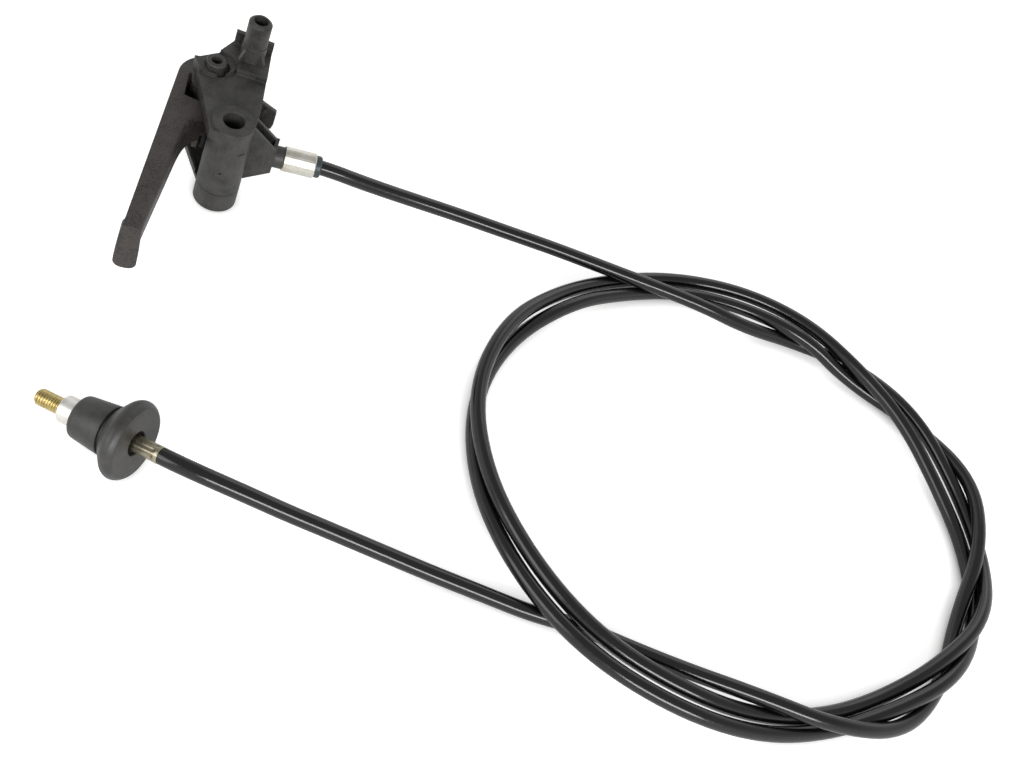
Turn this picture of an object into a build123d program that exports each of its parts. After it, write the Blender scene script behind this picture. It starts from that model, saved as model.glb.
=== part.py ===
# Bonnet release cable: pull lever in a bolted housing, coiled conduit, threaded far end
# The cable leaves the housing along +X, Z is up, and the origin is the foot of the mounting bore
from build123d import *
from math import atan, cos, degrees, radians, sin, sqrt, tan
import os

os.makedirs("parts", exist_ok=True)

# Cable
conduit_diameter = 6.0
wire_diameter = 1.5
wire_height = 20.6
wire_side = 9.05

# Housing
cover_top = 40.8
cover_skirt = 5.0
cover_sheet = 2.2
housing_wall = 1.8
seam_height = 9.2
base_sheet = 1.8
column_radius = 7.95
column_rise = 1.2
column_ring_radius = 8.35
bolt_bore_radius = 4.1
pivot_x = -9.8
pivot_y = 27.0
post_radius = 4.0
post_bore_radius = 2.05
post_top = 44.6
pad_rise = 1.4
pad_radius = 9.2
zone_rise = 2.4
zone_cutout_radius = 7.8
boss_radius = 6.2
peg_x = 2.9
peg_y = 36.5
peg_radius = 4.5
peg_bore_radius = 2.75
peg_top = 60.5
peg_root_radius = 4.75
peg_root_share = 0.437
far_wall_top = 49.2
outline_left = -18.0
outline_far = 42.2
outline_right = 10.2

# The root ribs reach up this share of the peg
peg_root_top = cover_top + peg_root_share * (peg_top - cover_top)

# Cable outlet of the housing
outlet_width = 9.6
outlet_wall = 1.5
outlet_end = 18.5
neck_radius = 4.4
neck_end = 22.2

# Lever
lever_top = 34.0
web_depth = 11.7
arm_end_depth = 7.5
hub_radius = 7.2
hub_rise = 1.5
head_radius = 12.9
hook_roll = 2.2
arm_end_y = -54.5
paddle_bottom = 11.5
paddle_thickness = 4.3
nipple_radius = 2.0
nipple_length = 7.0
nipple_x = -8.3

# Metal ends of the conduit
ferrule_radius = 5.05
ferrule_length = 12.7
spigot_radius = 3.4
spigot_length = 3.5
cap_radius = 4.35
cap_length = 2.4

# Far end, measured along its own axis from the front face of the flange
far_x = -12.5
far_y = -127.4
far_height = 14.9
far_heading = 152.0
far_tilt = 14.0
flange_radius = 14.4
flange_depth = 8.4
plug_start = 9.8
plug_end = 22.2
plug_wide_radius = 8.8
plug_narrow_radius = 7.3
groove_radius = 7.2
sleeve_radius = 4.75
sleeve_start = 3.0
sleeve_end = 28.3
steel_tube_radius = 3.05
steel_tube_start = -9.3
steel_tube_end = 6.0
stud_radius = 2.95
shank_radius = 2.7
stud_start = 22.0
thread_start = 29.0
stud_end = 38.4

# Coil of the conduit, as one ring of its outer shape
coil_x = 224.9
coil_y = -91.0
coil_radius = 104.5
coil_oval = 8.5
coil_drift = 4.5
coil_axis_angle = -2.0
coil_half_width = 11.0
coil_narrowing = 2.5
coil_widest_angle = 79.0
coil_height = 12.4

# Clearances
running_gap = 0.07
part_gap = 0.3
slide_gap = 0.1
seat_gap = 0.05


def box(x0, x1, y0, y1, z0, z1, mode=Mode.ADD):
    with Locations(((x0 + x1) / 2, (y0 + y1) / 2, (z0 + z1) / 2)):
        Box(x1 - x0, y1 - y0, z1 - z0, mode=mode)


def rod(x, y, radius, z0, z1, mode=Mode.ADD):
    with Locations((x, y, (z0 + z1) / 2)):
        Cylinder(radius, z1 - z0, mode=mode)


def rod_along_x(x0, x1, y, z, radius, mode=Mode.ADD):
    with Locations(Location(((x0 + x1) / 2, y, z), (0, 90, 0))):
        Cylinder(radius, x1 - x0, mode=mode)


def slab(points, z0, z1, mode=Mode.ADD, corner=0.0):
    with BuildSketch(Plane.XY.offset(z0)) as face:
        with BuildLine():
            Polyline(*points, close=True)
        make_face()
        if corner > 0:
            fillet(face.vertices(), corner)
    extrude(face.sketch, amount=z1 - z0, mode=mode)


def fin(points, y0, y1, mode=Mode.ADD):
    # Upright plate in the XZ plane between two Y values
    with BuildSketch(Plane.XZ.offset(-y1)) as face:
        with BuildLine():
            Polyline(*points, close=True)
        make_face()
    extrude(face.sketch, amount=y1 - y0, mode=mode)


# Plan outline of the housing: the far and right sides are shared, the left side of the cover lies further in
lean = radians(-158.0)
flat_turn = radians(-48.0)
base_left = [(column_radius * cos(lean), column_radius * sin(lean)), (outline_left, 23.4)]
cover_left = [(-3.4, -7.1), (-8.2, -5.2), (-16.1, 24.8)]
far_and_right = [
    (outline_left, 29.3),
    (-16.1, 29.5),
    (-12.8, 31.8),
    (-9.4, 34.2),
    (-4.6, outline_far),
    (outline_right, outline_far),
    (9.4, 12.0),
    (column_radius, -0.3),
]


def housing_face(z, left_side, inset=0.0):
    with BuildSketch(Plane.XY.offset(z)) as face:
        with BuildLine():
            Polyline(*left_side, *far_and_right, close=True)
        make_face()
        Circle(column_radius)
        if inset > 0:
            offset(amount=-inset)
    return face.sketch


# Cover: shallow tray with the mounting column, the peg and the cable outlet
with BuildPart() as cover:
    extrude(housing_face(cover_top - cover_skirt, cover_left), amount=cover_skirt)
    extrude(housing_face(cover_top - cover_skirt, cover_left, housing_wall),
            amount=cover_skirt - cover_sheet, mode=Mode.SUBTRACT)
    # Pad round the pivot, and the higher zone of the peg that curves round the pad
    with BuildSketch(Plane.XY.offset(cover_top - cover_sheet)) as pad:
        with Locations((pivot_x - 1.0, pivot_y + 4.0)):
            Circle(pad_radius)
        add(housing_face(cover_top - cover_sheet, cover_left), mode=Mode.INTERSECT)
    extrude(pad.sketch, amount=cover_sheet + pad_rise)
    with BuildSketch(Plane.XY.offset(cover_top - cover_sheet)) as zone:
        with BuildLine():
            Polyline((-12.0, 32.0), (-4.0, 44.0), (12.0, 44.0), (12.0, 25.6), (-3.0, 26.6), close=True)
        make_face()
        with Locations((pivot_x, pivot_y)):
            Circle(zone_cutout_radius, mode=Mode.SUBTRACT)
        add(housing_face(cover_top - cover_sheet, cover_left), mode=Mode.INTERSECT)
    extrude(zone.sketch, amount=cover_sheet + zone_rise)
    # Boss that the post passes through
    rod(pivot_x, pivot_y, boss_radius, cover_top - cover_skirt, cover_top)
    # Closed right side and far side
    slab([(9.4, 12.0), (9.4 - housing_wall, 12.0), (outline_right - housing_wall, outline_far),
          (outline_right, outline_far)], seam_height, cover_top - 1.0)
    fin([(-4.6, seam_height), (outline_right, seam_height), (outline_right, far_wall_top - 1.8),
         (-4.6, far_wall_top)], outline_far - housing_wall, outline_far)
    # Column with the draft of its mould, its rim a little above the sheet
    with Locations((0, 0, (seam_height + cover_top + column_rise) / 2)):
        Cone(column_ring_radius, column_radius, cover_top + column_rise - seam_height)
    # Peg with its root ribs
    rod(peg_x, peg_y, peg_radius, cover_top - cover_sheet, peg_top)
    rod(peg_x, peg_y, peg_root_radius, cover_top - cover_sheet, peg_root_top)
    chamfer(cover.edges().filter_by(GeomType.CIRCLE).group_by(Axis.Z)[-1], 1.1)
    for turn in range(4):
        across = Vector(cos(radians(45 + 90 * turn)), sin(radians(45 + 90 * turn)), 0)
        upright = Plane(origin=(peg_x, peg_y, 0), x_dir=across, z_dir=across.cross(Vector(0, 0, 1)))
        with BuildSketch(upright) as web:
            with BuildLine():
                Polyline((2.0, cover_top + 1), (peg_radius + 2.4, cover_top + 1),
                         (peg_radius + 2.4, cover_top + zone_rise + 0.8), (peg_radius, peg_root_top - 0.9),
                         (2.0, peg_root_top - 0.9), close=True)
            make_face()
        extrude(web.sketch, amount=0.6, both=True)
    # Two tapered cheeks, end wall and neck of the cable outlet
    near_side = wire_side - outlet_width / 2
    far_side = wire_side + outlet_width / 2
    for side, drop in ((near_side, 0.0), (far_side - outlet_wall, 2.0)):
        fin([(4.5, seam_height), (8.9, seam_height), (outlet_end, 15.8), (outlet_end, 27.6 - drop),
             (9.4, 35.6 - drop), (4.5, cover_top - 1.5)], side, side + outlet_wall)
    slab([(outlet_end - outlet_wall, near_side), (outlet_end, near_side), (outlet_end + 1.1, far_side),
          (outlet_end - 0.4, far_side)], 15.8, 25.8)
    rod_along_x(outlet_end - 1.0, neck_end, wire_side, wire_height, neck_radius)
    # Stop tab beside the outlet
    fin([(8.0, 21.0), (15.6, 22.6), (16.2, 25.0), (16.2, 31.6), (10.4, 34.7), (8.0, 36.2)], 21.2, 22.8)
    fin([(8.4, 34.6), (12.1, 33.0), (10.9, 30.2), (8.4, 28.6)], 20.8, 22.0, Mode.SUBTRACT)
    # Flat and ejector dimple on the column
    with Locations(Location((9.0 * cos(flat_turn), 9.0 * sin(flat_turn), 35.5), (0, 0, degrees(flat_turn)))):
        Box(2.4, 7, 8, mode=Mode.SUBTRACT)
    with Locations(Location((-0.8, -column_ring_radius, 21.4), (90, 0, 0))):
        Cylinder(0.6, 1.8, mode=Mode.SUBTRACT)
    # Bores
    rod(0, 0, bolt_bore_radius, seam_height - 1, cover_top + column_rise + 1, Mode.SUBTRACT)
    rod(peg_x, peg_y, peg_bore_radius, cover_top, peg_top + 1, Mode.SUBTRACT)
    above_pad = cover_top + pad_rise + 1
    rod(pivot_x, pivot_y, post_radius + 0.15, cover_top - cover_skirt, above_pad, Mode.SUBTRACT)
    rod(pivot_x + 1.0, pivot_y - 0.4, post_radius + 0.5, cover_top - 0.8, above_pad, Mode.SUBTRACT)
    rod_along_x(outlet_end - 3, neck_end + 1, wire_side, wire_height, wire_diameter / 2 + 0.5, Mode.SUBTRACT)
    rod_along_x(neck_end - spigot_length - slide_gap, neck_end + 1, wire_side, wire_height,
                spigot_radius + seat_gap, Mode.SUBTRACT)
cover.part.label = "cover"
export_step(cover.part, "parts/cover.step")

# Base plate: sheet with the foot ring of the column and the hollow post that the lever turns on
with BuildPart() as base_plate:
    extrude(housing_face(seam_height - base_sheet, base_left), amount=base_sheet)
    rod(0, 0, column_ring_radius, 0, seam_height)
    chamfer(base_plate.edges().filter_by(GeomType.CIRCLE).group_by(Axis.Z)[0], 0.5)
    rod(pivot_x, pivot_y, post_radius, seam_height - base_sheet, post_top)
    chamfer(base_plate.edges().filter_by(GeomType.CIRCLE).group_by(Axis.Z)[-1], 0.5)
    # Lip along the open left edge
    slab([(-9.3, 1.5), (-18.0, 23.2), (-16.8, 23.2), (-8.5, 2.6)], seam_height - 0.5, seam_height + 1.2)
    # Stiffening ribs under the sheet
    for end in ((pivot_x, pivot_y), (peg_x, peg_y)):
        reach = sqrt(end[0] ** 2 + end[1] ** 2)
        with BuildSketch(Plane.XY.offset(seam_height - base_sheet - 3.0)) as rib:
            with Locations(Location((end[0] / 2, end[1] / 2, 0), (0, 0, degrees(atan(end[1] / end[0]))))):
                Rectangle(reach, 1.6)
        extrude(rib.sketch, amount=3.2)
    rod(pivot_x, pivot_y, post_radius + 1.4, seam_height - base_sheet - 3.0, seam_height - 0.5)
    rod(0, 0, bolt_bore_radius, -1, seam_height + 1, Mode.SUBTRACT)
    rod(pivot_x, pivot_y, post_bore_radius, 0, post_top + 1, Mode.SUBTRACT)
base_plate.part.label = "base_plate"
export_step(base_plate.part, "parts/base_plate.step")

# Lever: hub, head, arm with the bent pull tip, and a web that ends in the fork for the wire nipple
web_bottom = lever_top - web_depth
arm_outer = [(-4.9, 7.4), (-4.9, 12.4), (-6.4, 21.6), (-12.0, 28.0), (-18.0, 34.0), (-22.6, 28.6),
             (-30.6, arm_end_y), (-24.2, arm_end_y), (-18.1, -13.7)]
window = [(-18.9, 15.6), (-18.6, 28.4), (-17.6, 28.4), (-17.2, 24.0), (-14.6, 20.9), (-12.8, 14.2)]
with BuildPart() as lever:
    with BuildSketch(Plane.XY.offset(web_bottom)) as arm:
        with BuildLine():
            Polyline(*arm_outer)
            Spline((-18.1, -13.7), (-13.6, 2.6), (-4.9, 7.4), tangents=((0.15, 1), (1, 0.02)))
        make_face()
    extrude(arm.sketch, amount=web_depth)
    # The top rolls over softly along the hook
    fillet(lever.edges().group_by(Axis.Z)[-1].filter_by(GeomType.BSPLINE), hook_roll)
    with BuildSketch(Plane.XY.offset(web_bottom)) as head:
        with Locations((pivot_x, pivot_y)):
            Circle(head_radius)
        with Locations((pivot_x - head_radius + 1.0, pivot_y + head_radius / 2)):
            Rectangle(2 * head_radius, head_radius, mode=Mode.INTERSECT)
    extrude(head.sketch, amount=web_depth)
    slab(window, web_bottom + 1.6, lever_top + 1, Mode.SUBTRACT, corner=0.4)
    # The arm grows thinner towards its end
    with BuildSketch(Plane.YZ.offset(-40)) as taper:
        with BuildLine():
            Polyline((-6.0, web_bottom), (arm_end_y - 1, lever_top - arm_end_depth), (arm_end_y - 1, 0),
                     (-6.0, 0), close=True)
        make_face()
    extrude(taper.sketch, amount=40, mode=Mode.SUBTRACT)
    # Pull tip, bent down at the end of the arm
    with BuildSketch(Plane.XZ.offset(-arm_end_y - paddle_thickness)) as tip:
        with BuildLine():
            Polyline((-30.9, lever_top), (-24.2, lever_top), (-23.7, 17.0), (-23.7, paddle_bottom),
                     (-31.9, paddle_bottom), (-31.9, 17.0), close=True)
        make_face()
        fillet(tip.vertices().group_by(Axis.Z)[0], 3.4)
    extrude(tip.sketch, amount=paddle_thickness)
    # Nipple fork below the web
    box(-12.8, -4.9, 7.2, 14.2, wire_height - 4.0, web_bottom + 1)
    pocket = nipple_radius + 0.45
    box(nipple_x - pocket, nipple_x + pocket, 4.0, wire_side + pocket,
        wire_height - 5.0, wire_height + nipple_length / 2 + 0.4, Mode.SUBTRACT)
    box(nipple_x, -4.0, 4.0, wire_side + 1.4, wire_height - 1.3, wire_height + 1.3, Mode.SUBTRACT)
    # Hub on the post
    rod(pivot_x, pivot_y, hub_radius, seam_height + part_gap, lever_top)
    rod(pivot_x, pivot_y, hub_radius - 1.2, lever_top - 1, lever_top + hub_rise)
    rod(pivot_x, pivot_y, post_radius + running_gap, 0, cover_top, Mode.SUBTRACT)
lever.part.label = "lever"
export_step(lever.part, "parts/lever.step")

# Inner wire between the lever and the ferrule, and its barrel nipple
wire_inner_end = neck_end + ferrule_length - 1.2
with BuildPart() as wire_nipple:
    rod(nipple_x, wire_side, nipple_radius, wire_height - nipple_length / 2, wire_height + nipple_length / 2)
    rod_along_x(nipple_x - 1.2, nipple_x + 4, wire_side, wire_height, wire_diameter / 2, Mode.SUBTRACT)
wire_nipple.part.label = "wire_nipple"
export_step(wire_nipple.part, "parts/wire_nipple.step")

with BuildPart() as inner_wire:
    rod_along_x(nipple_x - 1.2, wire_inner_end, wire_side, wire_height, wire_diameter / 2)
inner_wire.part.label = "inner_wire"
export_step(inner_wire.part, "parts/inner_wire.step")

# Ferrule in the neck, with its crimp flats, and the end cap of the conduit
ferrule_end = neck_end + ferrule_length
cap_end = ferrule_end + cap_length
with BuildPart() as ferrule:
    rod_along_x(neck_end, ferrule_end, wire_side, wire_height, ferrule_radius)
    chamfer(ferrule.edges().filter_by(GeomType.CIRCLE), 0.4)
    with BuildSketch(Plane.YZ.offset(neck_end + 3.0)) as crimp:
        with Locations((wire_side, wire_height)):
            Circle(ferrule_radius + 1)
            RegularPolygon(ferrule_radius - 0.15, 10, major_radius=False, mode=Mode.SUBTRACT)
    extrude(crimp.sketch, amount=7.0, mode=Mode.SUBTRACT)
    rod_along_x(neck_end - spigot_length, neck_end + 1, wire_side, wire_height, spigot_radius)
    rod_along_x(neck_end - 5, ferrule_end + 1, wire_side, wire_height, wire_diameter / 2 + 0.3, Mode.SUBTRACT)
ferrule.part.label = "ferrule"
export_step(ferrule.part, "parts/ferrule.step")

with BuildPart() as conduit_cap:
    rod_along_x(ferrule_end, cap_end, wire_side, wire_height, cap_radius)
    chamfer(conduit_cap.edges().filter_by(GeomType.CIRCLE).sort_by(Axis.X)[-1:], 0.5)
conduit_cap.part.label = "conduit_cap"
export_step(conduit_cap.part, "parts/conduit_cap.step")

# Coil of the conduit: a flat ring that follows its slightly oval lay
def lay_radius(angle):
    turn = radians(angle - coil_axis_angle)
    return coil_radius + coil_oval * cos(2 * turn) - coil_drift * cos(turn)


def lay_point(angle, side):
    half_width = coil_half_width + coil_narrowing * cos(2 * radians(angle - coil_widest_angle))
    reach = lay_radius(angle) + side * half_width
    return (coil_x + reach * cos(radians(angle)), coil_y + reach * sin(radians(angle)))


with BuildPart() as coil:
    with BuildSketch() as ring:
        for side, mode in ((1, Mode.ADD), (-1, Mode.SUBTRACT)):
            with BuildLine():
                Spline(*[lay_point(angle, side) for angle in range(0, 360, 30)], periodic=True)
            make_face(mode=mode)
    extrude(amount=coil_height)
    chamfer(coil.edges().group_by(Axis.Z)[-1], 2.4)
coil.part.label = "coil"
export_step(coil.part, "parts/coil.step")

# Straight parts of the conduit, laid as straight runs joined by tangent arcs
level = cos(radians(far_tilt))
far_dir = Vector(cos(radians(far_heading)) * level, sin(radians(far_heading)) * level,
                 -sin(radians(far_tilt)))
far_origin = Vector(far_x, far_y, far_height)


def far_point(distance):
    return tuple(far_origin + far_dir * distance)


lever_route = [(cap_end, wire_side, wire_height), (48.5, wire_side, wire_height), (69, 11.9, 13.6),
               (99, 13.0, 9.0), (131, 10.9, 6.2), (168, 5.6, 6.2)]
far_route = [far_point(steel_tube_start), far_point(-26.0), (31, -142.6, 17.4), (60, -145.6, 7.6),
             (96, -153.0, 3.2), (134, -162.8, 6.2)]


def bend_radii(route):
    radii = []
    for before, here, after in zip(route, route[1:], route[2:]):
        run_in = Vector(*here) - Vector(*before)
        run_out = Vector(*after) - Vector(*here)
        half_turn = radians(run_in.get_angle(run_out)) / 2
        radii.append(0.45 * min(run_in.length, run_out.length) / tan(half_turn))
    return radii


def conduit_run(route):
    radii = bend_radii(route)
    print("bend radii", [round(radius, 1) for radius in radii])
    with BuildPart() as run:
        with BuildLine() as path:
            FilletPolyline(*route, radius=radii)
        start = Vector(*route[0])
        with BuildSketch(Plane(origin=start, z_dir=Vector(*route[1]) - start)) as section:
            Circle(conduit_diameter / 2)
        sweep(section.sketch, path=path.line)
        add(coil.part, mode=Mode.SUBTRACT)
    length = path.wires()[0].length
    print("solids", len(run.part.solids()), "volume over section times length",
          round(run.part.volume / (3.14159 * (conduit_diameter / 2) ** 2 * length), 3))
    return run.part


conduit_lever_side = conduit_run(lever_route)
conduit_lever_side.label = "conduit_lever_side"
export_step(conduit_lever_side, "parts/conduit_lever_side.step")
conduit_far_side = conduit_run(far_route)
conduit_far_side.label = "conduit_far_side"
export_step(conduit_far_side, "parts/conduit_far_side.step")

# Far end: each piece is turned about the axis of the far end
far_axis_plane = Plane(origin=far_origin, x_dir=far_dir, z_dir=Vector(0, 0, 1).cross(far_dir))


def turned(points):
    # Solid of revolution from (distance, radius) pairs, closed along the axis where it starts and ends
    with BuildPart() as body:
        with BuildSketch(far_axis_plane) as half:
            with BuildLine():
                Polyline(*points, close=True)
            make_face()
        revolve(half.sketch, axis=Axis(far_origin, far_dir))
    return body.part


steel_tube = turned([(steel_tube_start, 1.1), (steel_tube_start, steel_tube_radius),
                     (steel_tube_end, steel_tube_radius), (steel_tube_end, 1.1)])
steel_tube.label = "steel_tube"
export_step(steel_tube, "parts/steel_tube.step")

sleeve = turned([(sleeve_start, steel_tube_radius), (sleeve_start, sleeve_radius),
                 (sleeve_end - 0.6, sleeve_radius), (sleeve_end, sleeve_radius - 0.6),
                 (sleeve_end, stud_radius + slide_gap),
                 (steel_tube_end + 1.0, stud_radius + slide_gap), (steel_tube_end + 1.0, 1.4),
                 (steel_tube_end, 1.4), (steel_tube_end, steel_tube_radius)])
sleeve.label = "sleeve"
export_step(sleeve, "parts/sleeve.step")

grommet = turned([(0, sleeve_radius - 0.4), (0, 12.6), (0.6, 13.8), (1.6, flange_radius),
                  (2.8, flange_radius), (4.0, 13.8), (5.2, 12.6),
                  (flange_depth, plug_wide_radius + 0.6), (flange_depth, groove_radius),
                  (plug_start, groove_radius), (plug_start, plug_wide_radius),
                  (plug_end - 1.6, plug_narrow_radius + 0.2), (plug_end - 0.5, plug_narrow_radius - 0.5),
                  (plug_end, plug_narrow_radius - 1.5),
                  (plug_end, sleeve_radius), (sleeve_start, sleeve_radius),
                  (sleeve_start, sleeve_radius - 0.4)])
grommet.label = "grommet"
export_step(grommet, "parts/grommet.step")

stud = turned([(stud_start, 0), (stud_start, shank_radius), (thread_start, shank_radius),
               (thread_start, stud_radius), (stud_end - 0.6, stud_radius), (stud_end, stud_radius - 0.6),
               (stud_end, 0)])
stud.label = "stud"
export_step(stud, "parts/stud.step")

stud_wire = turned([(3.6, 0), (3.6, wire_diameter / 2), (stud_start, wire_diameter / 2), (stud_start, 0)])
stud_wire.label = "stud_wire"
export_step(stud_wire, "parts/stud_wire.step")
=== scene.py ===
# Studio scene for a bonnet release cable: materials, the laid cable, its metal ends and the light
import bpy
from math import cos, exp, log, pi, radians, sin
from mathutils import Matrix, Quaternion, Vector


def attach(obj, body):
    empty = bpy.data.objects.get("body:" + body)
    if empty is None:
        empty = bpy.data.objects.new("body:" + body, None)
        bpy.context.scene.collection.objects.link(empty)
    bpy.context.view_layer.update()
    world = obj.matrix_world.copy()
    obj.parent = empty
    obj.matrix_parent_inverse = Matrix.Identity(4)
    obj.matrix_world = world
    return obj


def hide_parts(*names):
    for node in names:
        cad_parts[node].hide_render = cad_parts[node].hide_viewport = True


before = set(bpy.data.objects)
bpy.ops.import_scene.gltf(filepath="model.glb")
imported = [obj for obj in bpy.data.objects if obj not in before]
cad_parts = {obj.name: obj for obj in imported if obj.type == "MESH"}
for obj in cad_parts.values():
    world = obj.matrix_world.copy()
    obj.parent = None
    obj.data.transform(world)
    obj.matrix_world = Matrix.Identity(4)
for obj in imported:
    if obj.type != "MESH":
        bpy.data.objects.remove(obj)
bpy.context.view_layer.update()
mm = 0.001  # metres, so sizes in millimetres stay readable
print("frame loaded:", len(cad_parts), "nodes")


def colour(hexText):  # sRGB hex to the linear values that shaders take
    parts = [int(hexText[i:i + 2], 16) / 255 for i in (1, 3, 5)]
    return [p / 12.92 if p <= 0.04045 else ((p + 0.055) / 1.055) ** 2.4 for p in parts] + [1.0]


def addNode(tree, kind, values=None, links=None, **settings):
    node = tree.nodes.new(kind)
    for key, value in settings.items():
        setattr(node, key, value)
    for key, value in (values or {}).items():
        node.inputs[key].default_value = value
    for key, source in (links or {}).items():
        tree.links.new(source, node.inputs[key])
    return node


def newMaterial(name):
    material = bpy.data.materials.new(name)
    material.use_nodes = True
    material.node_tree.nodes.clear()
    return material, material.node_tree


def dress(nodeNames, material):  # also solids that a piece of the scene replaces
    for name in nodeNames:
        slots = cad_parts[name].data.materials
        slots.clear()
        slots.append(material)


def meshPiece(name, points, faces, body, sharpAngle=40):
    mesh = bpy.data.meshes.new(name)
    mesh.from_pydata([tuple(p) for p in points], [], faces)
    mesh.update()
    mesh.polygons.foreach_set("use_smooth", [True] * len(mesh.polygons))
    mesh.set_sharp_from_angle(angle=radians(sharpAngle))
    piece = bpy.data.objects.new(name, mesh)
    bpy.context.collection.objects.link(piece)
    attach(piece, body)
    return piece


# Camera at the photograph's place: about 49 degrees down, rolled so that the far end lies low on the left
view = {
    "place": (-24.25, -337.11, 362.71),
    "target": (125.2, -61.9, 0.0),
    "roll": 33.9,
    "lens": 42.19,
    "sensor": 36.0,
    "nearest": 0.01,            # metres in front of the lens
}
camera = bpy.data.objects.new("studioCamera", bpy.data.cameras.new("studioCamera"))
bpy.context.collection.objects.link(camera)
camera.data.lens = view["lens"]
camera.data.sensor_width = view["sensor"]
camera.data.clip_start = view["nearest"]
camera.location = Vector(view["place"]) * mm
aim = (Vector(view["target"]) - Vector(view["place"])).to_track_quat("-Z", "Y")
camera.rotation_mode = "QUATERNION"
camera.rotation_quaternion = aim @ Quaternion((0, 0, 1), radians(view["roll"]))
bpy.context.scene.camera = camera
print("camera placed")


# Materials: sizes of patterns in mm
plastic = {
    "edge": 0.35,               # radius that the mould leaves on edges
    "roughness": 0.45,
    "variation": 0.08,          # of the roughness, either way
    "patch": 7.0,               # across the paler patches that handling leaves
    "scuff": (0.5, 14.0),       # width and length of the fine upright scuffs
    "joint": 9.85,              # height up to which the cover's edge gets painted shade from its joint with the plate
    "paintedJointShade": "#070707",           # colour of that painted shade
}
# The real grain is finer than this, and is drawn coarse enough to show from the camera
housingSkin = {"base": "#1f1e1d", "worn": "#3d3c3a", "grain": 0.55, "grainDepth": 0.12, "speckle": 0.5}
leverSkin = {"base": "#1e1c1b", "worn": "#3a3532", "grain": 0.95, "grainDepth": 0.6, "speckle": 1.0}


def mouldedNylon(name, skin, joint=0.0):
    # Black nylon: grey sheen over the grain, paler patches and fine scuffs where it is rubbed, and painted
    # shade up to the joint's height
    material, tree = newMaterial(name)
    place = addNode(tree, "ShaderNodeTexCoord").outputs["Object"]
    grain = addNode(tree, "ShaderNodeTexNoise",
                    {"Scale": 1000 / skin["grain"], "Detail": 3.0, "Roughness": 0.6}, {"Vector": place})
    patches = addNode(tree, "ShaderNodeTexNoise",
                      {"Scale": 1000 / plastic["patch"], "Detail": 5.0, "Roughness": 0.6}, {"Vector": place})
    width, length = plastic["scuff"]
    scuffScale = (1000 / width, 1000 / width, 1000 / length)
    upright = addNode(tree, "ShaderNodeMapping", {"Scale": scuffScale}, {"Vector": place})
    scuffs = addNode(tree, "ShaderNodeTexNoise", {"Scale": 1.0, "Detail": 2.0},
                     {"Vector": upright.outputs[0]})
    scuffed = addNode(tree, "ShaderNodeMapRange", {"From Min": 0.58, "From Max": 0.68, "To Max": 0.9},
                      {"Value": scuffs.outputs["Fac"]})
    patched = addNode(tree, "ShaderNodeMapRange", {"From Min": 0.38, "From Max": 0.68},
                      {"Value": patches.outputs["Fac"]})
    rubbed = addNode(tree, "ShaderNodeMath", operation="MAXIMUM",
                     links={0: scuffed.outputs[0], 1: patched.outputs[0]})
    speckled = addNode(tree, "ShaderNodeMapRange",
                       {"From Min": 0.42, "From Max": 0.62, "To Max": skin["speckle"]},
                       {"Value": grain.outputs["Fac"]})
    wear = addNode(tree, "ShaderNodeMath", links={0: rubbed.outputs[0], 1: speckled.outputs[0]},
                   operation="ADD")
    tint = addNode(tree, "ShaderNodeMixRGB",
                   {"Color1": colour(skin["base"]), "Color2": colour(skin["worn"])},
                   {"Fac": wear.outputs[0]})
    # Painted shade: up to the joint's height the cover takes the dark colour of the shade in its joint with
    # the plate
    height = addNode(tree, "ShaderNodeSeparateXYZ", links={0: place})
    clear = addNode(tree, "ShaderNodeMath", {1: joint * mm}, {0: height.outputs["Z"]},
                    operation="GREATER_THAN")
    tint = addNode(tree, "ShaderNodeMixRGB", {"Color1": colour(plastic["paintedJointShade"])},
                   {"Fac": clear.outputs[0], "Color2": tint.outputs["Color"]})
    gloss = addNode(tree, "ShaderNodeMapRange",
                    {"From Min": 0.3, "From Max": 0.7,
                     "To Min": plastic["roughness"] - plastic["variation"],
                     "To Max": plastic["roughness"] + plastic["variation"]},
                    {"Value": grain.outputs["Fac"]})
    rounded = addNode(tree, "ShaderNodeBevel", {"Radius": plastic["edge"] * mm}, samples=4)
    bump = addNode(tree, "ShaderNodeBump", {"Strength": 0.6, "Distance": skin["grainDepth"] * mm},
                   {"Height": grain.outputs["Fac"], "Normal": rounded.outputs["Normal"]})
    shader = addNode(tree, "ShaderNodeBsdfPrincipled", {"IOR": 1.5},
                     {"Base Color": tint.outputs["Color"], "Roughness": gloss.outputs[0],
                      "Normal": bump.outputs["Normal"]})
    addNode(tree, "ShaderNodeOutputMaterial", links={"Surface": shader.outputs[0]})
    return material


# The cover's nylon gets painted shade at its joint with the plate, the plate's stays even and the lever's
# looks speckled
dress(["cover"], mouldedNylon("glassFilledNylonMoulded", housingSkin, plastic["joint"]))
dress(["base_plate"], mouldedNylon("glassFilledNylonPlateMoulded", housingSkin))
dress(["lever"], mouldedNylon("nylonCoarseGrainMoulded", leverSkin))

sheath = {
    "base": "#09090a",
    "streaked": "#121213",
    "streak": 7.14,             # mm across the paler streaks
    "dust": 1.11,               # mm between the specks that dull the gloss
    "roughness": 0.14,
    "winding": 2.4,             # mm between the ripples that the steel winding leaves
    "ripple": 0.06,             # mm high
}


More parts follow.
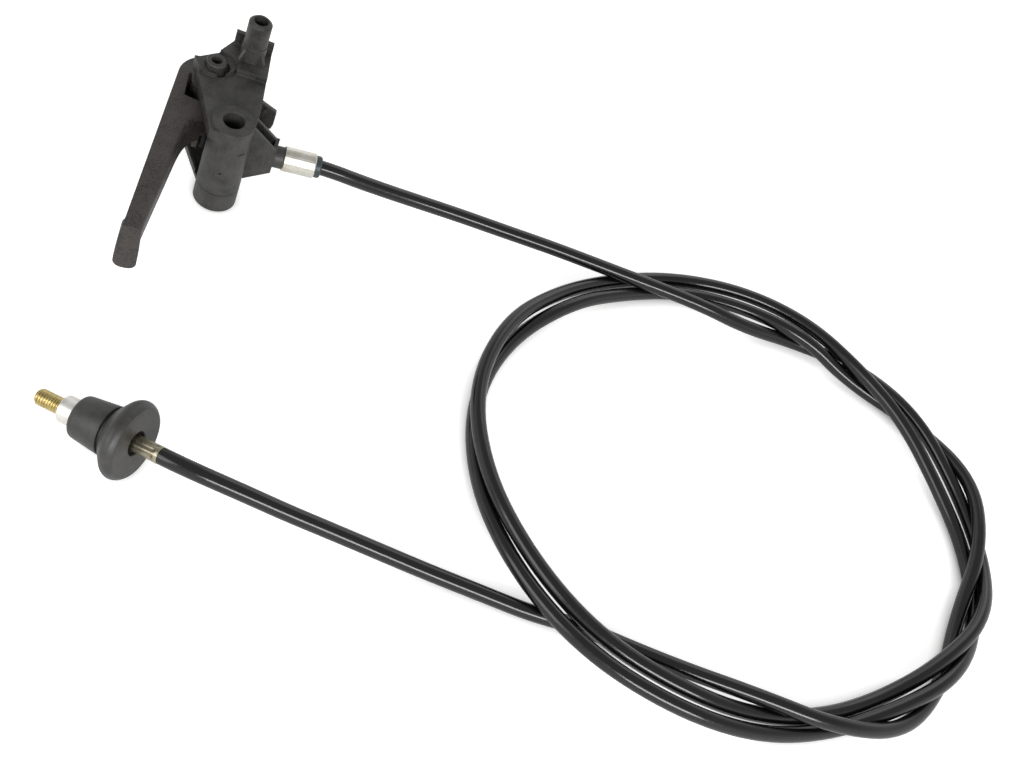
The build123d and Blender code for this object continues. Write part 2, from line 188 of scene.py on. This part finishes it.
def extrudedPvc(name):
    # PVC sheath over a wound steel wire: deep black, with crisp highlights that waver over the winding
    material, tree = newMaterial(name)
    place = addNode(tree, "ShaderNodeTexCoord").outputs["Object"]
    streak = addNode(tree, "ShaderNodeTexNoise", {"Scale": 1000 / sheath["streak"], "Detail": 3.0},
                     {"Vector": place})
    tint = addNode(tree, "ShaderNodeMixRGB",
                   {"Color1": colour(sheath["base"]), "Color2": colour(sheath["streaked"])},
                   {"Fac": streak.outputs["Fac"]})
    dust = addNode(tree, "ShaderNodeTexNoise", {"Scale": 1000 / sheath["dust"], "Detail": 2.0},
                   {"Vector": place})
    gloss = addNode(tree, "ShaderNodeMapRange",
                    {"From Min": 0.35, "From Max": 0.75, "To Min": sheath["roughness"],
                     "To Max": sheath["roughness"] + 0.1}, {"Value": dust.outputs["Fac"]})
    ripple = addNode(tree, "ShaderNodeTexNoise", {"Scale": 1000 / sheath["winding"], "Detail": 1.0},
                     {"Vector": place})
    bump = addNode(tree, "ShaderNodeBump", {"Strength": 0.12, "Distance": sheath["ripple"] * mm},
                   {"Height": ripple.outputs["Fac"]})
    shader = addNode(tree, "ShaderNodeBsdfPrincipled", {"IOR": 1.53},
                     {"Base Color": tint.outputs["Color"], "Roughness": gloss.outputs[0],
                      "Normal": bump.outputs["Normal"]})
    addNode(tree, "ShaderNodeOutputMaterial", links={"Surface": shader.outputs[0]})
    return material


sheathPvc = extrudedPvc("pvcSheathExtruded")
dress(["conduit_lever_side", "coil", "conduit_far_side"], sheathPvc)

rubber = {
    "talc": 3.85,               # mm across the patches of mould talc
    "grain": 0.25,              # mm between grains
    "grainDepth": 0.03,         # mm
}
grommetTones = {"base": "#2b2a29", "dusty": "#3c3b3a", "roughness": 0.42}
capTones = {"base": "#2a3436", "dusty": "#354143", "roughness": 0.4}


def mouldedRubber(name, tones):
    # Dark rubber or soft plastic: dull, greyed by a little mould talc, with a broad soft sheen
    material, tree = newMaterial(name)
    place = addNode(tree, "ShaderNodeTexCoord").outputs["Object"]
    talc = addNode(tree, "ShaderNodeTexNoise",
                   {"Scale": 1000 / rubber["talc"], "Detail": 5.0, "Roughness": 0.6}, {"Vector": place})
    dusted = addNode(tree, "ShaderNodeMapRange", {"From Min": 0.35, "From Max": 0.7},
                     {"Value": talc.outputs["Fac"]})
    tint = addNode(tree, "ShaderNodeMixRGB",
                   {"Color1": colour(tones["base"]), "Color2": colour(tones["dusty"])},
                   {"Fac": dusted.outputs[0]})
    grain = addNode(tree, "ShaderNodeTexNoise", {"Scale": 1000 / rubber["grain"], "Detail": 2.0},
                    {"Vector": place})
    bump = addNode(tree, "ShaderNodeBump", {"Strength": 0.3, "Distance": rubber["grainDepth"] * mm},
                   {"Height": grain.outputs["Fac"]})
    shader = addNode(tree, "ShaderNodeBsdfPrincipled", {"IOR": 1.52, "Roughness": tones["roughness"]},
                     {"Base Color": tint.outputs["Color"], "Normal": bump.outputs["Normal"]})
    addNode(tree, "ShaderNodeOutputMaterial", links={"Surface": shader.outputs[0]})
    return material


# The grommet is a neutral black grey, the cap a bluish one
grommetRubber = mouldedRubber("nitrileRubberMoulded", grommetTones)
dress(["grommet"], grommetRubber)
dress(["conduit_cap"], mouldedRubber("polyethyleneCapMoulded", capTones))

plating = {
    "drift": 3.03,              # mm across the drifts of tone
    "markLength": 8.3,          # times the distance between tool marks
    "markDepth": 0.03,          # mm
}


def platedMetal(name, base, tarnish, roughness, spread, markSize):
    # Plated steel: tone drifts with the plating, fine tool marks along the part break up the highlight
    material, tree = newMaterial(name)
    place = addNode(tree, "ShaderNodeTexCoord").outputs["Object"]
    drift = addNode(tree, "ShaderNodeTexNoise", {"Scale": 1000 / plating["drift"], "Detail": 4.0},
                    {"Vector": place})
    drifted = addNode(tree, "ShaderNodeMapRange", {"From Min": 0.38, "From Max": 0.66},
                      {"Value": drift.outputs["Fac"]})
    tint = addNode(tree, "ShaderNodeMixRGB", {"Color1": colour(base), "Color2": colour(tarnish)},
                   {"Fac": drifted.outputs[0]})
    marksPerMetre = 1000 / markSize
    markScale = (marksPerMetre / plating["markLength"], marksPerMetre, marksPerMetre)
    along = addNode(tree, "ShaderNodeMapping", {"Scale": markScale}, {"Vector": place})
    marks = addNode(tree, "ShaderNodeTexNoise", {"Scale": 1.0, "Detail": 2.0}, {"Vector": along.outputs[0]})
    gloss = addNode(tree, "ShaderNodeMapRange",
                    {"From Min": 0.3, "From Max": 0.7, "To Min": roughness, "To Max": roughness + spread},
                    {"Value": marks.outputs["Fac"]})
    bump = addNode(tree, "ShaderNodeBump", {"Strength": 0.25, "Distance": plating["markDepth"] * mm},
                   {"Height": marks.outputs["Fac"]})
    shader = addNode(tree, "ShaderNodeBsdfPrincipled", {"Metallic": 1.0},
                     {"Base Color": tint.outputs["Color"], "Roughness": gloss.outputs[0],
                      "Normal": bump.outputs["Normal"]})
    addNode(tree, "ShaderNodeOutputMaterial", links={"Surface": shader.outputs[0]})
    return material


finishes = {
    # tone, tarnish, roughness, how far the roughness rises, mm between tool marks
    "steelBrightZincPlated": ("#e6e4dd", "#d3cebf", 0.3, 0.1, 0.5),          # silvery, with a warm drift
    "steelTurnedBrightZincPlated": ("#efede8", "#dedbd3", 0.32, 0.12, 0.5),  # nearly white
    "steelPaleYellowZincPlated": ("#b1aa96", "#948c76", 0.24, 0.15, 0.3),    # dull straw
    "steelYellowPassivatedZinc": ("#d0c08a", "#b19d66", 0.26, 0.14, 0.25),   # brassy
    "galvanisedWireDrawn": ("#a9a9a6", "#8c8c88", 0.35, 0.15, 0.2),          # mid grey
    "steelDarkenedAsPaintedShade": ("#38383a", "#29292b", 0.45, 0.15, 0.3),         # nearly black: painted shade, so that the nipple reads as the shaded pocket of the lever
}
metals = {name: platedMetal(name, *values) for name, values in finishes.items()}
dress(["ferrule"], metals["steelBrightZincPlated"])
dress(["sleeve"], metals["steelTurnedBrightZincPlated"])
dress(["steel_tube"], metals["steelPaleYellowZincPlated"])
dress(["stud"], metals["steelYellowPassivatedZinc"])
dress(["inner_wire", "stud_wire"], metals["galvanisedWireDrawn"])
# Painted shade: the wire's nipple is made nearly black to stand in for the shade inside the lever's pocket
dress(["wire_nipple"], metals["steelDarkenedAsPaintedShade"])
print("materials done")


# The cable's conduit: one spline from the ferrule's cap, round the coil and out to the steel tube
conduit = {
    "diameter": 6.0,
    "leverStrand": [(37.3, 9.05, 20.6), (43.0, 9.1, 20.1), (52.0, 9.5, 18.2), (64.0, 10.5, 15.6),
                    (80.0, 11.4, 13.0), (100.0, 11.3, 11.0), (120.0, 10.0, 9.6), (140.0, 7.8, 9.3),
                    (158.0, 4.8, 9.4)],
    "farStrand": [(150.0, -164.1, 3.2), (130.0, -161.8, 3.0), (110.0, -156.8, 3.5), (90.0, -152.3, 4.6),
                  (72.0, -148.5, 6.8), (54.0, -145.4, 10.2), (38.0, -143.1, 13.8), (24.0, -140.5, 16.8),
                  (2.5, -135.4, 19.1), (-4.5, -131.6, 17.1)],
    "centre": (224.9, -91.0),
    "reach": 105.0,             # mean distance of the turns from the centre
    "height": 5.9,              # mean height of the cable's middle above the floor
    "firstAngle": 118.0,
    "stepAngle": 18.0,
    "steps": 55,
    # The loose turns sway in and out and climb over each other: size in mm, sways per turn, start in turns
    "sideSways": [(7.57, 1.962, 0.353), (6.81, 1.034, 0.222), (4.43, 1.532, 0.465), (2.32, 3.493, 0.094),
                  (4.63, 4.4, 0.057), (2.4, 2.866, 0.101), (4.47, 4.606, 0.325), (2.81, 0.248, -0.344),
                  (2.07, 2.671, 0.058), (2.17, 5.549, 0.253), (1.83, 5.411, -0.068), (0.61, 4.824, -0.437)],
    "heightSways": [(4.83, 4.541, 0.155), (3.69, 2.203, 0.303), (4.68, 4.35, -0.119),
                    (3.14, 3.663, -0.37), (1.41, 1.601, -0.01), (0.64, 3.694, -0.161),
                    (1.84, 2.658, -0.103), (2.36, 1.417, -0.212), (3.54, 5.759, -0.405),
                    (1.28, 0.186, -0.065), (1.41, 5.476, 0.379), (0.32, 0.554, 0.316)],
    "settling": 0.4,            # mm over which a strand eases onto the floor
}


def swayed(mean, sways, turn):
    return mean + sum(size * cos(2 * pi * (rate * turn + start)) for size, rate, start in sways)


def coilPoint(step):
    angle = conduit["firstAngle"] - step * conduit["stepAngle"]
    turn = step * conduit["stepAngle"] / 360
    reach = swayed(conduit["reach"], conduit["sideSways"], turn)
    lift = swayed(conduit["height"], conduit["heightSways"], turn) - conduit["diameter"] / 2
    height = conduit["diameter"] / 2 + conduit["settling"] * log(1 + exp(lift / conduit["settling"]))
    return (conduit["centre"][0] + reach * cos(radians(angle)),
            conduit["centre"][1] + reach * sin(radians(angle)), height)


def conduitRoute():
    coil = [coilPoint(step) for step in range(conduit["steps"])]
    return conduit["leverStrand"] + coil + conduit["farStrand"]


def conduitCurve(route):
    curve = bpy.data.curves.new("conduitCoiled", "CURVE")
    curve.dimensions = "3D"
    curve.bevel_depth = conduit["diameter"] / 2 * mm
    curve.bevel_resolution = 6
    curve.resolution_u = 8
    curve.use_fill_caps = True
    spline = curve.splines.new("NURBS")
    spline.points.add(len(route) - 1)
    for point, place in zip(spline.points, route):
        point.co = (*[value * mm for value in place], 1.0)
    spline.order_u = 3
    spline.use_endpoint_u = True
    curve.materials.append(sheathPvc)
    piece = bpy.data.objects.new("conduitCoiled", curve)
    bpy.context.collection.objects.link(piece)
    return piece


conduitPiece = conduitCurve(conduitRoute())
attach(conduitPiece, "root")
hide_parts("conduit_lever_side", "coil", "conduit_far_side")
print("conduit laid")


# Axes of the cable's two metal ends, in the CAD's frame: origin in mm, heading and downward tilt in degrees
ferruleAxis = {"origin": (0.0, 9.05, 20.6), "heading": 0.0, "tilt": 0.0}
farAxis = {"origin": (-12.5, -127.4, 14.9), "heading": 152.0, "tilt": 14.0}


def ring(axis, distance, reachAt, around):
    # Points round an axis at one distance along it; reachAt gives their radius at each turn
    level = cos(radians(axis["tilt"]))
    ahead = Vector((cos(radians(axis["heading"])) * level, sin(radians(axis["heading"])) * level,
                    -sin(radians(axis["tilt"]))))
    across = ahead.cross(Vector((0, 0, 1))).normalized()
    upward = across.cross(ahead)
    centre = Vector(axis["origin"]) + ahead * distance
    turns = [2 * pi * k / around for k in range(around)]
    return [(centre + (across * cos(turn) + upward * sin(turn)) * reachAt(turn)) * mm for turn in turns]


def skinnedPiece(name, rings, body, capped=False, sharpAngle=40):
    # Rings of points, each joined to the next; without caps the last one joins the first
    around = len(rings[0])
    faces = []
    for row in range(len(rings) - 1 if capped else len(rings)):
        after = (row + 1) % len(rings)
        for k in range(around):
            following = (k + 1) % around
            faces.append((row * around + k, row * around + following,
                          after * around + following, after * around + k))
    if capped:
        faces.append(list(range(around))[::-1])
        faces.append([(len(rings) - 1) * around + k for k in range(around)])
    return meshPiece(name, [point for points in rings for point in points], faces, body, sharpAngle)


def roundedProfile(corners, parts=5):
    # Corners of (distance, reach, rounding) around a closed outline, each rounded as a soft arc
    outline = []
    for index, (distance, reach, rounding) in enumerate(corners):
        corner = Vector((distance, reach))
        before = Vector(corners[index - 1][:2])
        after = Vector(corners[(index + 1) % len(corners)][:2])
        start = corner + (before - corner).normalized() * rounding
        end = corner + (after - corner).normalized() * rounding
        for part in range(parts + 1 if rounding else 1):
            share = part / parts
            outline.append(start * (1 - share) ** 2 + corner * 2 * share * (1 - share) + end * share ** 2)
    return outline


# Ferrule: round spigot and a body pressed to lengthwise flats with fine creases between them
ferrule = {"start": 22.2, "end": 34.9, "radius": 5.08, "bore": 1.05, "spigot": 3.4, "spigotLength": 3.5,
           "bevel": 0.4, "flats": 12, "apothem": 4.9, "around": 192,
           "uneven": 0.05,      # mm that the flats differ in depth
           "crease": 0.12,      # mm deep
           "creaseWidth": 0.035}  # radians


def pressedReach(turn, shrink):
    flatTurn = 2 * pi / ferrule["flats"]
    index = int(turn / flatTurn)
    offCentre = turn - (index + 0.5) * flatTurn
    offCorner = flatTurn / 2 - abs(offCentre)
    apothem = ferrule["apothem"] + ferrule["uneven"] * sin(7 * index)  # no two neighbours alike
    crease = ferrule["crease"] * exp(-(offCorner / ferrule["creaseWidth"]) ** 2)
    return min(ferrule["radius"], apothem / cos(offCentre)) - crease - shrink


ferruleProfile = [(ferrule["start"] - ferrule["spigotLength"], ferrule["bore"]),
                  (ferrule["start"] - ferrule["spigotLength"], ferrule["spigot"]),
                  (ferrule["start"], ferrule["spigot"])]
ferruleRings = [ring(ferruleAxis, distance, lambda turn: reach, ferrule["around"])
                for distance, reach in ferruleProfile]
for distance, shrink in ((ferrule["start"], ferrule["bevel"]), (ferrule["start"] + ferrule["bevel"], 0.0),
                         (ferrule["end"] - ferrule["bevel"], 0.0), (ferrule["end"], ferrule["bevel"])):
    ferruleRings.append(
        ring(ferruleAxis, distance, lambda turn: pressedReach(turn, shrink), ferrule["around"]))
ferruleRings.append(ring(ferruleAxis, ferrule["end"], lambda turn: ferrule["bore"], ferrule["around"]))
ferrulePressed = skinnedPiece("ferrulePressed", ferruleRings, "root")
ferrulePressed.data.materials.append(metals["steelBrightZincPlated"])
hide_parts("ferrule")
print("ferrule pressed")

# Grommet: soft-edged flange, groove for the panel and a plug that narrows to its end
grommet = {"bore": 4.35, "face": 12.5, "rim": 14.1, "flange": 8.4, "groove": 7.6, "plugStart": 9.8,
           "plugEnd": 22.2, "plugWide": 8.8, "plugNarrow": 7.4, "seat": 4.8, "seatDepth": 2.0,
           "mouthDepth": 4.0, "around": 96}
grommetCorners = [
    # distance from the face, reach from the axis, rounding
    (0.0, grommet["bore"], 0.5),
    (0.0, grommet["face"], 0.3),
    (1.2, grommet["rim"] - 0.5, 0.6),
    (3.0, grommet["rim"] + 0.1, 1.2),
    (4.8, grommet["rim"] - 0.7, 0.9),
    (grommet["flange"], grommet["plugWide"] + 0.5, 0.6),
    (grommet["flange"] + 0.2, grommet["groove"], 0.2),
    (grommet["plugStart"], grommet["groove"], 0.2),
    (grommet["plugStart"], grommet["plugWide"], 0.5),
    (grommet["plugEnd"], grommet["plugNarrow"], 1.7),
    (grommet["plugEnd"], grommet["seat"], 0.3),
    (grommet["plugEnd"] - grommet["seatDepth"], grommet["seat"], 0.0),
    (grommet["mouthDepth"], grommet["bore"], 0.0),
]
grommetRounded = skinnedPiece("grommetRounded", [
    ring(farAxis, distance, lambda turn: reach, grommet["around"])
    for distance, reach in roundedProfile(grommetCorners)], "root", sharpAngle=60)
grommetRounded.data.materials.append(grommetRubber)
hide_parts("grommet")
print("grommet rounded")

# Steel tube: pressed lengthwise flutes, with a plain lip where it grips the conduit
tube = {"start": -9.3, "end": 6.0, "radius": 3.05, "bore": 1.1, "bevel": 0.3, "flutes": 8, "depth": 0.24,
        "lip": 1.3, "fade": 0.7, "around": 120, "rows": 40}


def tubeReach(distance, turn):
    pressed = min(max((distance - tube["start"] - tube["lip"]) / tube["fade"], 0.0), 1.0)
    flute = 0.5 - 0.5 * cos(tube["flutes"] * turn)
    return tube["radius"] - tube["depth"] * pressed * flute


tubeRings = [ring(farAxis, tube["start"], lambda turn: tube["bore"], tube["around"]),
             ring(farAxis, tube["start"], lambda turn: tube["radius"] - tube["bevel"], tube["around"])]
flutedStart = tube["start"] + tube["bevel"]
for row in range(tube["rows"] + 1):
    along = flutedStart + (tube["end"] - flutedStart) * row / tube["rows"]
    tubeRings.append(ring(farAxis, along, lambda turn: tubeReach(along, turn), tube["around"]))
tubeRings.append(ring(farAxis, tube["end"], lambda turn: tube["bore"], tube["around"]))
tubeFluted = skinnedPiece("steelTubeFluted", tubeRings, "root")
tubeFluted.data.materials.append(metals["steelPaleYellowZincPlated"])
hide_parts("steel_tube")
print("steel tube fluted")

# Stud: M6 thread as a true helix, with a chamfered tip and a plain shank
stud = {"start": 22.0, "threadStart": 28.6, "end": 38.4, "radius": 2.95, "root": 2.42, "shank": 2.65,
        "pitch": 1.0, "flank": 0.8, "chamfer": 0.9, "rowsPerPitch": 12, "around": 72}


def threadReach(distance, turn):
    if distance <= stud["threadStart"]:
        return stud["shank"]
    phase = (distance / stud["pitch"] - turn / (2 * pi)) % 1.0
    slope = min(abs(phase - 0.5) * 2 / stud["flank"], 1.0)
    depth = (stud["radius"] - stud["root"]) * (1 - slope)
    toTip = stud["end"] - distance
    chamferLimit = stud["radius"] - max(0.0, stud["chamfer"] - toTip) * stud["chamfer"]
    return min(stud["radius"] - depth, chamferLimit)


studPlaces = [stud["start"], stud["threadStart"]]
threadRows = int((stud["end"] - stud["threadStart"]) / stud["pitch"] * stud["rowsPerPitch"])
studPlaces += [stud["threadStart"] + 0.05 + row * stud["pitch"] / stud["rowsPerPitch"]
               for row in range(threadRows)]
studThreaded = skinnedPiece("studThreaded", [
    ring(farAxis, place, lambda turn: threadReach(place, turn), stud["around"])
    for place in studPlaces], "far_stud", capped=True, sharpAngle=60)
studThreaded.data.materials.append(metals["steelYellowPassivatedZinc"])
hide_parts("stud")
print("stud threaded")


# Studio: white floor and backdrop under a greyer ceiling, one low strip light beside the camera
studio = {
    "floor": 4.0,               # metres from the middle to each side
    "floorHeight": -0.0001,     # metres, just clear of the faces that stand on it
    "floorPaint": "#f4f4f3",
    "white": "#ffffff",
    "surround": 0.48,           # what the room adds to dull surfaces
    "ceiling": 0.42,            # how bright the ceiling mirrors, beside white for the backdrop
    "floorGlow": 0.6,           # what lifts the floor to white for the camera
    "floorMirrored": 0.12,      # and for what mirrors it
    "contact": 5.0,             # mm round the object within which painted contact shade dims the floor's glow
    "lamps": [
        # name, place in metres, width and height, power, towards
        ("keyStrip", (0.20, -1.10, 0.59), (0.84, 0.28), 9.0, (0.13, -0.07, 0.0)),
        ("fillPanel", (-0.85, -0.55, 0.55), (0.7, 0.7), 3.8, (0.05, -0.06, 0.0)),
        ("backPanel", (0.6, 0.8, 0.8), (0.6, 0.6), 1.0, (0.13, -0.06, 0.0)),
    ],
}
world = bpy.data.worlds.new("studioWorld")
bpy.context.scene.world = world
world.use_nodes = True
worldTree = world.node_tree
worldTree.nodes.clear()
rays = addNode(worldTree, "ShaderNodeLightPath")
seen = addNode(worldTree, "ShaderNodeMath", operation="MAXIMUM",
               links={0: rays.outputs["Is Camera Ray"], 1: rays.outputs["Is Glossy Ray"]})
seen = addNode(worldTree, "ShaderNodeMath", operation="MAXIMUM",
               links={0: seen.outputs[0], 1: rays.outputs["Is Transmission Ray"]})
direction = addNode(worldTree, "ShaderNodeTexCoord")
upward = addNode(worldTree, "ShaderNodeSeparateXYZ", links={0: direction.outputs["Generated"]})
mirrored = addNode(worldTree, "ShaderNodeMapRange",
                   {"From Min": 0.3, "From Max": 0.75, "To Min": 1.0, "To Max": studio["ceiling"]},
                   {"Value": upward.outputs["Z"]})
strength = addNode(worldTree, "ShaderNodeMapRange", {"To Min": studio["surround"]},
                   {"Value": seen.outputs[0], "To Max": mirrored.outputs[0]})
backdrop = addNode(worldTree, "ShaderNodeBackground", {"Color": colour(studio["white"])},
                   {"Strength": strength.outputs[0]})
addNode(worldTree, "ShaderNodeOutputWorld", links={"Surface": backdrop.outputs[0]})

for name, place, size, power, towards in studio["lamps"]:
    lamp = bpy.data.lights.new(name, "AREA")
    lamp.shape = "RECTANGLE"
    lamp.size, lamp.size_y = size
    lamp.energy = power
    lampObject = bpy.data.objects.new(name, lamp)
    lampObject.location = place
    lampObject.rotation_mode = "QUATERNION"
    lampObject.rotation_quaternion = (Vector(towards) - Vector(place)).to_track_quat("-Z", "Y")
    bpy.context.collection.objects.link(lampObject)

floorMesh = bpy.data.meshes.new("studioFloor")
floorCorners = [(x * studio["floor"], y * studio["floor"], studio["floorHeight"])
                for x, y in ((-1, -1), (1, -1), (1, 1), (-1, 1))]
floorMesh.from_pydata(floorCorners, [], [(0, 1, 2, 3)])
floor = bpy.data.objects.new("studioFloor", floorMesh)
bpy.context.collection.objects.link(floor)
floorPaint, floorTree = newMaterial("mattWhiteFloorPaint")
floorRays = addNode(floorTree, "ShaderNodeLightPath")
mirrored = addNode(floorTree, "ShaderNodeMath", {1: studio["floorMirrored"]},
                   {0: floorRays.outputs["Is Glossy Ray"]}, operation="MULTIPLY")
glow = addNode(floorTree, "ShaderNodeMath", {1: studio["floorGlow"]},
               {0: floorRays.outputs["Is Camera Ray"], 2: mirrored.outputs[0]}, operation="MULTIPLY_ADD")
paint = addNode(floorTree, "ShaderNodeBsdfDiffuse", {"Color": colour(studio["floorPaint"])})
# Painted shade: occlusion dims the floor's glow, so the floor is darker near the object and in the gaps
# between its parts
contact = addNode(floorTree, "ShaderNodeAmbientOcclusion", {"Distance": studio["contact"] * mm}, samples=8)
fading = addNode(floorTree, "ShaderNodeMath", links={0: glow.outputs[0], 1: contact.outputs["AO"]},
                 operation="MULTIPLY")
shine = addNode(floorTree, "ShaderNodeEmission", {"Color": colour(studio["white"])},
                {"Strength": fading.outputs[0]})
both = addNode(floorTree, "ShaderNodeAddShader")
floorTree.links.new(paint.outputs[0], both.inputs[0])
floorTree.links.new(shine.outputs[0], both.inputs[1])
addNode(floorTree, "ShaderNodeOutputMaterial", links={"Surface": both.outputs[0]})
floorMesh.materials.append(floorPaint)
bpy.context.scene.view_settings.view_transform = "Standard"
print("studio lit")
